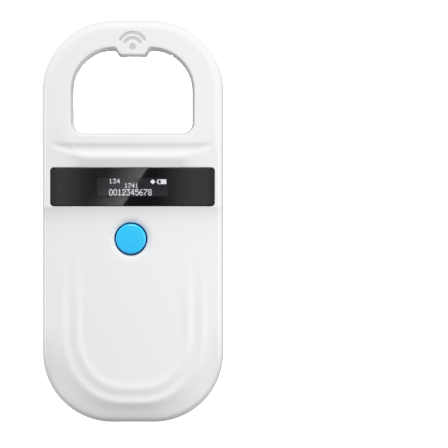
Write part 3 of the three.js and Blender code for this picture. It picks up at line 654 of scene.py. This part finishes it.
def rear_case():
    """The rear shell, with its screw bosses, sound holes and label recess."""
    skin = Skin()
    seam = ((RIM_WALL, SPLIT_Z), (SEAM, SPLIT_Z), (0.0, SPLIT_Z - SEAM))
    rows = [lift(outline(inset), z) for inset, z in seam]
    for k in range(11):
        a = k / 10 * math.pi / 2
        inset = REAR_INSET + (REAR_RADIUS - REAR_INSET) * (1 - math.cos(a))
        rows.append(lift(outline(inset), REAR_RADIUS * (1 - math.sin(a))))
    skin.strip(rows)
    rows = [lift(offset(THROAT, SEAM), SPLIT_Z), lift(THROAT, SPLIT_Z - SEAM)]
    for k in range(5):
        a = k / 4 * math.pi / 2
        out, z = LOOP_FILLET * (1 - math.cos(a)), LOOP_FILLET * (1 - math.sin(a))
        rows.append(lift(offset(REAR_OPENING, out), z))
    skin.strip(rows)
    holes, floor_holes = [offset(REAR_OPENING, LOOP_FILLET)], [LOOP_WALL]
    # screw bosses
    boss_r, hole_r, counter_r, mouth_r = BOSS["r"], BOSS["hole_r"], BOSS["counter_r"], BOSS["mouth_r"]
    for x, y in SCREWS:
        at_wall = abs(x) > BOSS["at_wall"]               # these bosses grow out of the side wall
        boss = [(boss_r, FLOOR_Z), (boss_r, BOSS["top"]), (hole_r, BOSS["top"])]
        boss = [(hole_r, BOSS["wall_top"])] if at_wall else boss
        seat = [(hole_r, BOSS["seat_z"]), (counter_r, BOSS["seat_z"]), (counter_r, 0.2), (mouth_r, 0)]
        skin.strip([lift(circle(x, y, r, BOSS_SIDES), z) for r, z in [*boss, *seat]])
        holes.append(circle(x, y, mouth_r, BOSS_SIDES))
        if at_wall:
            skin.fill(level(BOSS["wall_top"]), circle(x, y, hole_r, BOSS_SIDES))
        else:
            floor_holes.append(circle(x, y, boss_r, BOSS_SIDES))
    # sound holes, with a small chamfer outside
    chamfer, sides = 0.12, 24
    for dx, dy in SOUND_HOLES:
        x, y = BUZZER[0] + dx, BUZZER[1] + dy
        steps = ((SOUND_R, FLOOR_Z), (SOUND_R, chamfer), (SOUND_R + chamfer, 0))
        skin.strip([lift(circle(x, y, r, sides), z) for r, z in steps])
        holes.append(circle(x, y, SOUND_R + chamfer, sides))
        floor_holes.append(circle(x, y, SOUND_R, sides))
    # recess for the label
    x, y, w, h = LABEL
    recess = rounded(w / 2 + LABEL_GAP, -h / 2 - LABEL_GAP, h / 2 + LABEL_GAP, 2, 2)[0] + [x, y]
    skin.strip([lift(recess, LABEL_DEPTH), lift(recess, 0.05), lift(offset(recess, 0.05), 0)])
    skin.fill(level(LABEL_DEPTH), recess)
    holes.append(offset(recess, 0.05))
    skin.fill(level(0.0), outline(REAR_RADIUS), holes)
    # inside
    inner = ((RIM_WALL, SPLIT_Z), (RIM_WALL, 6), (2.8, 4.2), (FLOOR_INSET, FLOOR_Z))
    skin.strip([lift(outline(inset), z) for inset, z in inner])
    skin.fill(level(FLOOR_Z), outline(FLOOR_INSET), floor_holes)
    skin.strip([lift(LOOP_WALL, FLOOR_Z), lift(LOOP_WALL, SPLIT_Z)])
    skin.fill(level(SPLIT_Z), LOOP_WALL, [offset(THROAT, SEAM)])
    return skin.mesh("rear_case")


place("rear_case", rear_case(), white, "case", "shell_white", "rear_shell")

# ---------------------------------------------------------------- window, button


def plate_mesh(name, loop, top, bottom, bevel):
    """A thin plate with a small rounded edge all round its upper face."""
    skin = Skin()
    rows = [lift(loop, bottom)]
    for k in range(4):
        a = k / 3 * math.pi / 2
        edge = offset(loop, -bevel * (1 - math.cos(a)))
        rows.append(lift(edge, lambda x, y: top(x, y) - bevel * (1 - math.sin(a))))
    flat = offset(loop, -bevel - 0.12)
    rows.append(lift(flat, top))
    skin.strip(rows)
    skin.fill(top, flat, spacing=2.5)
    skin.fill(bottom, loop)
    return skin.mesh(name)


window_loop, _ = rounded(WINDOW["half_w"], WINDOW["y"] - WINDOW["half_h"], WINDOW["y"] + WINDOW["half_h"],
                         WINDOW["corner"], WINDOW["corner"], 0.5)


def window_material():
    """Smoked acrylic, painted black behind except over the display's lit area."""
    mat = surface("window_black", (0.004, 0.004, 0.0045), 0.012, vary=0.1, grain=400,
                  grain_depth=0.0002, spread=0.003)
    nt = mat.node_tree
    place_in = object_axes(nt)
    sides = []
    for axis, (low, high) in zip("XY", LIT_AREA):
        off_centre = arithmetic(nt, "SUBTRACT", place_in[axis], (low + high) / 2 * MM)
        distance = arithmetic(nt, "ABSOLUTE", off_centre)
        sides.append(arithmetic(nt, "LESS_THAN", distance, (high - low) / 2 * MM))
    clear = arithmetic(nt, "MULTIPLY", *sides)
    nt.links.new(ramp(nt, clear, 1.0, SMOKE), nt.nodes["Principled BSDF"].inputs["Alpha"])
    return mat


window_mesh = plate_mesh("window_plate", window_loop, lambda x, y: FACE_Z + rise(y),
                         lambda x, y: FACE_Z + rise(y) - WINDOW["thick"], 0.12)
place("window_plate", window_mesh, window_material(), "case", "window_black", "display_window")


def cap_mesh():
    """The button: a flange that keeps it in, a rounded edge and a slightly domed top."""
    top, radius, dome, dome_r = FACE_Z + 0.75, 0.9, 0.22, 5.3
    flange_low, flange_high = 16.2, 17.3
    steps = [(FLANGE_R, flange_low), (FLANGE_R, flange_high), (CAP_R, flange_high), (CAP_R, top - radius)]
    steps += [(CAP_R - radius * (1 - math.cos(a)), top - radius * (1 - math.sin(a)))
              for a in np.linspace(0.15, 1.45, 7)]
    steps += [(r, top + dome * (1 - (r / dome_r) ** 2)) for r in (5.25, 4.5, 3.6, 2.7, 1.8, 0.9, 0.3)]
    skin = Skin()
    skin.strip([lift(circle(*BUTTON, r, BUTTON_SIDES), z) for r, z in steps])
    for r, z in (steps[0], steps[-1]):
        skin.fill(level(z), circle(*BUTTON, r, BUTTON_SIDES))
    return skin.mesh("push_button")


place("push_button", cap_mesh(), blue, "button", "button_blue", "button_cap")

# ---------------------------------------------------------------- lit figures of the display

FIGURES = {
    "0": "01110 10001 10001 10001 10001 10001 01110", "1": "00100 01100 00100 00100 00100 00100 01110",
    "2": "01110 10001 00001 00110 01000 10000 11111", "3": "11111 00010 00100 00010 00001 10001 01110",
    "4": "00010 00110 01010 10010 11111 00010 00010", "5": "11111 10000 11110 00001 00001 10001 01110",
    "6": "00110 01000 10000 11110 10001 10001 01110", "7": "11111 00001 00010 00100 01000 01000 01000",
    "8": "01110 10001 10001 01110 10001 10001 01110", "9": "01110 10001 10001 01111 00001 00010 01100",
    "diamond": "00100 01110 11111 11111 11111 01110 00100",
    "battery": "011111111111 010001111111 110001111111 110001111111 110001111111 010001111111 011111111111"}


def bricks(name, boxes, mat, body, slot):
    """Small blocks, each (low corner, high corner) in millimetres, as one piece."""
    bm = bmesh.new()
    for low, high in boxes:
        made = bmesh.ops.create_cube(bm, size=1)
        bmesh.ops.scale(bm, vec=(Vector(high) - Vector(low)) * MM, verts=made["verts"])
        bmesh.ops.translate(bm, vec=(Vector(high) + Vector(low)) * MM / 2, verts=made["verts"])
    mesh = bpy.data.meshes.new(name)
    bm.to_mesh(mesh)
    bm.free()
    place(name, mesh, mat, body, slot)


def figure(name, x, y, dot_w, dot_h, z):
    """The lit dots of one figure, whose lower left corner is at (x, y)."""
    filled, thick = 0.94, 0.02
    rows = FIGURES[name].split()
    for r, row in enumerate(reversed(rows)):
        for c, lit in enumerate(row):
            if lit == "1":
                low = (x + c * dot_w, y + r * dot_h, z)
                yield low, (low[0] + dot_w * filled, low[1] + dot_h * filled, z + thick)


def display_figures():
    gap, pitch = 0.02, 6          # above the glass, and from figure to figure in dots
    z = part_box("display_panel_glass")[1][2] / MM + gap
    lines = (("0012345678", -9.85, 10.85, 0.302, 0.375), ("134", -9.9, 15.9, 0.27, 0.27),
             ("1741", -3.4, 14.05, 0.25, 0.27))
    dots = []
    for text, x, y, dot_w, dot_h in lines:
        for k, character in enumerate(text):
            dots += figure(character, x + k * pitch * dot_w, y, dot_w, dot_h, z)
    dots += figure("diamond", 7.5, 15.6, 0.36, 0.28, z)
    dots += figure("battery", 10.1, 15.6, 0.33, 0.28, z)
    lit = surface("display_light", (0.8, 0.8, 0.8), 0.4, vary=0.02)
    make_glow(lit, (0.93, 0.95, 1.0), FIGURE_GLOW)
    bricks("display_figures", dots, lit, "case", "display_glass")


display_figures()

# ---------------------------------------------------------------- screws and charging socket


def screw_mesh(name, x, y, top):
    """A pan-head thread-forming screw, head down, whose head meets its seat at SCREW_Z."""
    sides, rings = 40, 90
    pitch, core, ridge, ridge_half = 1.0, 0.95, 0.2, 0.3          # the ridge's half width is in turns
    point_length, point_size = 1.4, 0.25
    head = [(0.9, 0.0), (1.5, 0.02), (1.85, 0.14), (2.04, 0.36), (2.1, 0.62), (2.1, 1.42),
            (2.02, HEAD_HEIGHT), (1.15, HEAD_HEIGHT)]
    rows = [lift(circle(x, y, r, sides), SCREW_Z - HEAD_HEIGHT + z) for r, z in head]
    angles = np.linspace(0, 1, sides, endpoint=False)
    for z in np.linspace(0.1, top - SCREW_Z, rings):
        turn = (z / pitch - angles) % 1
        taper = min(1.0, (top - SCREW_Z - z) / point_length + point_size)
        r = (core + ridge * np.clip(1 - np.abs(turn - 0.5) / ridge_half, 0, 1)) * taper
        a = angles * 2 * math.pi
        rows.append(lift(np.column_stack([x + r * np.cos(a), y + r * np.sin(a)]), SCREW_Z + z))
    return capped(name, rows)


def cross_mesh(x, y):
    """The cutter for a cross recess, which narrows into the head."""
    rows = []
    for long, thin, z in ((1.38, 0.34, -0.3), (1.25, 0.3, 0.0), (0.42, 0.2, 1.05)):
        arm = np.array([(long, -thin), (long, thin), (thin, thin)])
        turns = [arm @ np.array([[math.cos(a), math.sin(a)], [-math.sin(a), math.cos(a)]])
                 for a in np.arange(4) * math.pi / 2]
        rows.append(lift(np.vstack(turns) + [x, y], SCREW_Z - HEAD_HEIGHT + z))
    return capped("cross", rows)


for number in range(1, len(SCREWS) + 1):
    cad_screw, name = f"case_screw_{number}", f"screw_{number}"
    low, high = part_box(cad_screw)
    x, y = (low[0] + high[0]) / 2 / MM, (low[1] + high[1]) / 2 / MM
    screw = place(name, screw_mesh(name, x, y, high[2] / MM), steel, "case", "steel", cad_screw)
    cut(screw, cross_mesh(x, y))


def socket_shell():
    """The charging socket's rolled steel shell, open towards -Y and with a rounded lip."""
    low, high = (np.array(c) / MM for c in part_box("charge_socket_shell"))
    half, height, wall, corner = (high[0] - low[0]) / 2, high[2] - low[2], 0.3, 1.55

    def row(shrink, y):
        loop, _ = rounded(half - shrink, shrink, height - shrink, corner - shrink, corner - shrink, 0.25)
        loop = spread(np.vstack([loop, loop[:1]]), 121)[:-1]
        return np.column_stack([loop[:, 0], np.full(len(loop), y), loop[:, 1] + low[2]])

    lip = ((0, 0.1), (0.03, 0.03), (0.1, 0.0), (wall - 0.1, 0.0), (wall - 0.02, 0.04), (wall, 0.12))
    return capped("socket_shell", [row(0, high[1]), *(row(shrink, low[1] + y) for shrink, y in lip),
                                   row(wall, high[1] - 1.0)])


place("socket_shell", socket_shell(), steel, "case", "steel", "charge_socket_shell")


def socket_contacts():
    """Twelve contacts on each side of the socket's tongue."""
    low, high = (np.array(c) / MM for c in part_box("charge_socket_tongue"))
    count, pitch, width, proud, sunk = 12, 0.5, 0.26, 0.03, 0.02
    for k in range(count):
        x = (k - (count - 1) / 2) * pitch
        for z0, z1 in ((low[2] - proud, low[2] + sunk), (high[2] - sunk, high[2] + proud)):
            yield (x - width / 2, low[1] + 0.35, z0), (x + width / 2, low[1] + 3.6, z1)


gold = surface("contact_gold", (0.83, 0.62, 0.28), 0.25, metal=1.0, vary=0.05)
bricks("socket_contacts", socket_contacts(), gold, "case", "steel")

# ---------------------------------------------------------------- materials of the inner pieces


def textured(name, colour, rough, pattern, other, depth, metal=0.0, **settings):
    """A surface whose pattern also mixes in another colour and stands out by depth."""
    mat = surface(name, colour, rough, metal=metal, **settings)
    nt = mat.node_tree
    shader = nt.nodes["Principled BSDF"]
    height = pattern(nt)
    base = shader.inputs["Base Color"].links[0].from_socket
    node = nt.nodes.new("ShaderNodeMix")
    node.data_type = "RGBA"
    nt.links.new(height, node.inputs["Factor"])
    nt.links.new(base, node.inputs["A"])
    node.inputs["B"].default_value = (*other, 1)
    nt.links.new(node.outputs["Result"], shader.inputs["Base Color"])
    bump(nt, shader, height, depth)
    return mat


def object_texture(nt, kind, scale, **values):
    """A texture node in the object's own space. An underscore in a value's name is a space."""
    texture = nt.nodes.new("ShaderNodeTex" + kind)
    texture.inputs["Scale"].default_value = scale
    for socket, value in values.items():
        texture.inputs[socket.replace("_", " ")].default_value = value
    nt.links.new(nt.nodes.new("ShaderNodeTexCoord").outputs["Object"], texture.inputs["Vector"])
    return texture


def tracks(nt):
    """Copper tracks under the green solder mask, and round pads."""
    lines = object_texture(nt, "Brick", 190, Mortar_Size=0.035, Color1=(0, 0, 0, 1), Color2=(0, 0, 0, 1),
                           Mortar=(1, 1, 1, 1), Brick_Width=1.7, Row_Height=0.42)
    pads = object_texture(nt, "Voronoi", 170)
    dots = arithmetic(nt, "LESS_THAN", pads.outputs["Distance"], 0.16)
    return arithmetic(nt, "MAXIMUM", lines.outputs["Color"], dots)


def windings(nt):
    """Fine parallel turns of wire."""
    bands = object_texture(nt, "Wave", 640, Distortion=0.4)
    bands.bands_direction = "Z"
    return bands.outputs["Fac"]


def crinkles(nt):
    """The soft folds of a foil pouch."""
    folds = object_texture(nt, "Voronoi", 210)
    folds.feature = "SMOOTH_F1"
    return ramp(nt, folds.outputs["Distance"], 0.0, 0.6)


def pores(nt):
    """The cells of foam or cloth."""
    cells = object_texture(nt, "Voronoi", 2600)
    return arithmetic(nt, "SUBTRACT", 1.0, cells.outputs["Distance"])


def frame_line(nt):
    """A thin printed line just inside the edge of the blank label."""
    margin, half_line = 1.4 * MM, 0.15 * MM
    x, y, w, h = (v * MM for v in LABEL)
    place_in = object_axes(nt)
    reach = []
    for axis, centre, half in (("X", x, w / 2), ("Y", y, h / 2)):
        off_centre = arithmetic(nt, "ABSOLUTE", arithmetic(nt, "SUBTRACT", place_in[axis], centre))
        reach.append(arithmetic(nt, "SUBTRACT", off_centre, half - margin))
    edge = arithmetic(nt, "MAXIMUM", *reach)
    return arithmetic(nt, "LESS_THAN", arithmetic(nt, "ABSOLUTE", edge), half_line)


chip = surface("chip_epoxy", (0.022, 0.022, 0.024), 0.55, vary=0.2, mottle=300, grain=6000,
               grain_depth=0.004)
board = textured("board_green", (0.012, 0.085, 0.035), 0.35, tracks, (0.05, 0.2, 0.08), 0.02)
amber = surface("amber_film", (0.42, 0.2, 0.03), 0.3, vary=0.12, mottle=150, grain=700,
                grain_depth=0.01)
# The panel's glow is painted light: it brightens the panel, which gets little light under the smoked window
panel = surface("display_glass", (0.2, 0.19, 0.25), 0.06, vary=0.03, spread=0.02)
make_glow(panel, (0.93, 0.88, 1.0), PANEL_PAINTED_GLOW)
INNER = {
    "black_tape": textured("black_tape", (0.02, 0.02, 0.02), 0.85, pores, (0.035, 0.035, 0.035), 0.02),
    "board_green": board,
    "chip_black": chip,
    "black_plastic": black,
    "ivory_plastic": surface("ivory_plastic", (0.78, 0.72, 0.58), 0.45, vary=0.03, mottle=120),
    "steel": steel,
    "enamelled_copper": textured("enamelled_copper", (0.45, 0.13, 0.05), 0.3, windings,
                                 (0.2, 0.05, 0.02), 0.05, metal=1.0),
    "amber_film": amber,
    "display_glass": panel,
    "battery_foil": textured("battery_foil", (0.62, 0.63, 0.66), 0.32, crinkles,
                             (0.5, 0.51, 0.54), 0.12, metal=0.9),
    "lead_red": surface("lead_red", (0.45, 0.02, 0.02), 0.45, vary=0.05, mottle=300),
    "lead_black": surface("lead_black", (0.02, 0.02, 0.02), 0.45, vary=0.1, mottle=300),
    "grey_foam": textured("grey_foam", (0.06, 0.06, 0.065), 0.95, pores, (0.1, 0.1, 0.1), 0.05),
    "label_grey": textured("label_silver", (0.62, 0.63, 0.64), 0.4, frame_line, (0.25, 0.26, 0.27), 0.002),
}
for part in frame["record"]["subparts"]:
    node = nodes[part["node"]]
    if part["material_slot"] in INNER and not node.hide_render:
        node.data.materials.clear()
        node.data.materials.append(INNER[part["material_slot"]])

# ---------------------------------------------------------------- stage

camera = bpy.data.objects.new("camera", bpy.data.cameras.new("camera"))
camera.data.sensor_width, camera.data.lens = CAMERA_SENSOR, CAMERA_LENS
camera.data.clip_start, camera.data.clip_end = 0.05, 20
camera.location = CAMERA_PLACE
bpy.context.scene.collection.objects.link(camera)
bpy.context.scene.camera = camera


def floor_material():
    """Glowing white above and clear from below, so that the object's back can be seen through it."""
    mat = surface("floor_white", (0.35, 0.35, 0.35), 0.9, vary=0.002, grain=300, grain_depth=0.01)
    shader = make_glow(mat, (1, 1, 1), FLOOR_GLOW)
    tree = mat.node_tree
    side = tree.nodes.new("ShaderNodeNewGeometry").outputs["Backfacing"]
    clear = tree.nodes.new("ShaderNodeBsdfTransparent").outputs["BSDF"]
    mixed = tree.nodes.new("ShaderNodeMixShader")
    tree.links.new(side, mixed.inputs["Fac"])
    tree.links.new(shader.outputs["BSDF"], mixed.inputs[1])
    tree.links.new(clear, mixed.inputs[2])
    tree.links.new(mixed.outputs["Shader"], tree.nodes["Material Output"].inputs["Surface"])
    return mat


def make_floor():
    skin = Skin()
    corners = np.array([(-1, -1), (1, -1), (1, 1), (-1, 1)], float) * FLOOR_HALF
    skin.add(lift(corners, -FLOOR_DROP), [(0, 1, 2, 3)])
    obj = bpy.data.objects.new("floor", skin.mesh("floor"))
    obj.data.materials.append(floor_material())
    bpy.context.scene.collection.objects.link(obj)
    obj.visible_diffuse = obj.visible_glossy = obj.visible_shadow = False


make_floor()

world = bpy.data.worlds.new("studio")
world.use_nodes = True
background = world.node_tree.nodes["Background"]
background.inputs["Color"].default_value = (1, 1, 1, 1)
background.inputs["Strength"].default_value = AMBIENT
bpy.context.scene.world = world


def area_light(name, azimuth, elevation, distance, size, energy):
    """A soft square light aimed at the object. Azimuth 0 is +Y and 90 is +X."""
    a, e = math.radians(azimuth), math.radians(elevation)
    location = Vector((math.sin(a) * math.cos(e), math.cos(a) * math.cos(e), math.sin(e))) * distance
    light = bpy.data.lights.new(name, "AREA")
    light.shape, light.size, light.energy = "SQUARE", size, energy
    obj = bpy.data.objects.new(name, light)
    obj.location = location
    obj.rotation_euler = (-location).to_track_quat("-Z", "Y").to_euler()
    bpy.context.scene.collection.objects.link(obj)


for name, settings in LIGHTS.items():
    area_light(name, *settings)


def reflection_card():
    """A softbox above the camera that shows in the polished window.

    It is bright at both sides, with a slanted bright wedge left of the middle and dark right of it.
    Each of its points is where the camera sees the window mirror it.
    """
    height, columns, rows, margin = 1.95, 240, 80, 1.06
    window_z = (FACE_Z + rise(WINDOW["y"])) * MM
    mirrored = np.array(camera.location)
    mirrored[2] = 2 * window_z - mirrored[2]
    u, v = np.meshgrid(np.linspace(-1, 1, columns), np.linspace(-1, 1, rows))
    x, y = (u * WINDOW["half_w"] * margin).ravel(), (v * WINDOW["half_h"] * margin).ravel()
    on_window = np.column_stack([x * MM, (WINDOW["y"] + y) * MM, np.full_like(x, window_z)])
    ray = on_window - mirrored
    points = mirrored + ray * ((height - mirrored[2]) / ray[:, 2])[:, None]
    slanted_edge = 6.1 - 10.2 * (7.6 - y) / 15.5       # its x across the window's height
    left = slanted_edge - x
    wedge = 2.55 * np.clip(1 - left / 17.5, 0, 1) ** 1.6
    left_side = 0.285 + wedge + 0.66 * smooth(14.5, 31, -x)
    right_side = 0.08 + 0.85 * smooth(8, 27, x)
    ends = 1 - 0.3 * smooth(30.5, 34, np.abs(x))
    glow = np.where(left > 0, left_side, right_side) * ends
    faces = [(r * columns + c, r * columns + c + 1, (r + 1) * columns + c + 1, (r + 1) * columns + c)
             for r in range(rows - 1) for c in range(columns - 1)]
    mesh = bpy.data.meshes.new("softbox")
    mesh.from_pydata(points.tolist(), [], faces)
    layer = mesh.color_attributes.new("glow", "FLOAT_COLOR", "POINT")
    layer.data.foreach_set("color", np.column_stack([glow] * 3 + [np.ones_like(glow)]).ravel())
    mat = bpy.data.materials.new("softbox")
    mat.use_nodes = True
    tree = mat.node_tree
    tree.nodes.clear()
    attribute, emission, output = (tree.nodes.new("ShaderNode" + kind)
                                   for kind in ("Attribute", "Emission", "OutputMaterial"))
    attribute.attribute_name = "glow"
    tree.links.new(attribute.outputs["Color"], emission.inputs["Color"])
    tree.links.new(emission.outputs[0], output.inputs["Surface"])
    mesh.materials.append(mat)
    obj = bpy.data.objects.new("softbox", mesh)
    bpy.context.scene.collection.objects.link(obj)


reflection_card()


def soft_shoulder(start=0.8, white=2.2, steps=24):
    """A camera's tone curve: plain up to start, then bending. The radiance white shows as 1."""
    view = bpy.context.scene.view_settings
    view.view_transform = "Standard"
    view.use_curve_mapping = True
    mapping = view.curve_mapping
    mapping.white_level = (white, white, white)
    steep = (white - start) / (1 - start)
    curve = mapping.curves[3]
    curve.points[0].location, curve.points[1].location = (0, 0), (1, 1)
    for t in np.linspace(0, 1, steps + 1)[:-1]:
        height = start + (1 - start) * (1 - math.exp(-steep * t)) / (1 - math.exp(-steep))
        curve.points.new((start + (white - start) * t) / white, height)
    for point in curve.points:
        point.handle_type = "VECTOR"
    mapping.update()


soft_shoulder()
